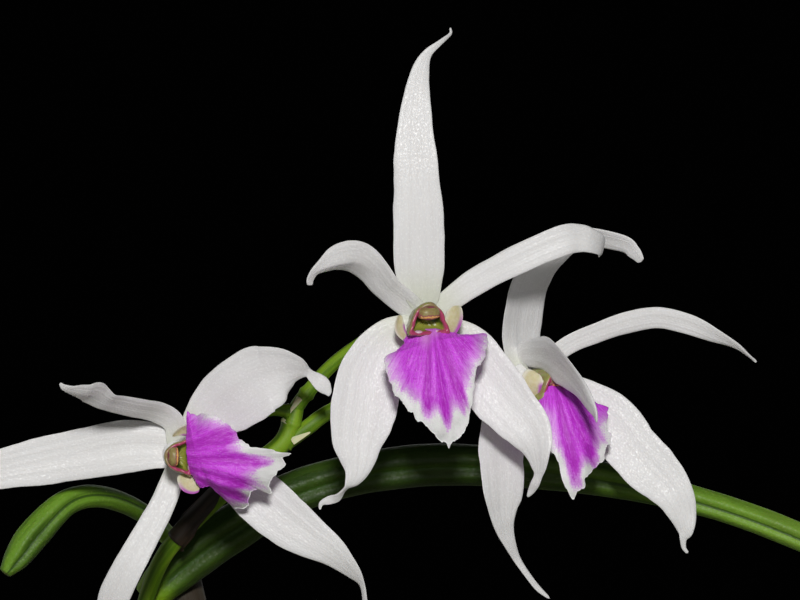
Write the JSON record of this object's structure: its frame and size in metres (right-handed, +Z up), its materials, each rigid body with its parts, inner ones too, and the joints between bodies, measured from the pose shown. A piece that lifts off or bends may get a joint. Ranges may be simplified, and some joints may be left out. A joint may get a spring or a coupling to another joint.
{
  "type": "potted leptotes bicolor",
  "caption": "Small orchid in a plain clay pot: slim grooved leaves arch from a creeping rhizome in bark, under a spray of white starry blooms with magenta lips.",
  "frame": {"origin": "centre of the pot's flat base, on the surface it stands on", "axes": "+Z up; the blooms face -Y; +X is to the right of a viewer who faces them"},
  "size_m": [0.1693, 0.1489, 0.1576],
  "materials": {
    "clay": "unglazed terracotta, matte",
    "bark": "rough fir bark chips",
    "rhizome": "dry papery skin and pale velamen",
    "sheath": "green stem in a dry sheath",
    "leaf": "fleshy, finely pimpled, satin",
    "peduncle": "smooth, satin",
    "tepal": "white, crystalline, soft satin",
    "lip": "magenta with a white ruffled margin",
    "column": "waxy green",
    "anther": "waxy cream"
  },
  "bodies": {
    "root": {"pot": "clay", "bark": "bark", "rhizome_and_roots": "rhizome", "flowering_stem": "sheath", "flowering_leaf": "leaf", "left_stem": "sheath", "left_leaf": "leaf", "back_stem": "sheath", "back_leaf": "leaf", "middle_stem": "sheath", "middle_leaf": "leaf", "back_right_stem": "sheath", "back_right_leaf": "leaf", "right_stem": "sheath", "right_leaf": "leaf", "far_right_stem": "sheath", "far_right_leaf": "leaf", "front_stem": "sheath", "front_leaf": "leaf", "front_left_stem": "sheath", "front_left_leaf": "leaf", "flower_stem": "peduncle", "middle_bloom_tepals": "tepal", "middle_bloom_lip": "lip", "middle_bloom_column": "column", "middle_bloom_anther_cap": "anther", "left_bloom_tepals": "tepal", "left_bloom_lip": "lip", "left_bloom_column": "column", "left_bloom_anther_cap": "anther", "right_bloom_tepals": "tepal", "right_bloom_lip": "lip", "right_bloom_column": "column", "right_bloom_anther_cap": "anther"}
  },
  "joints": []
}
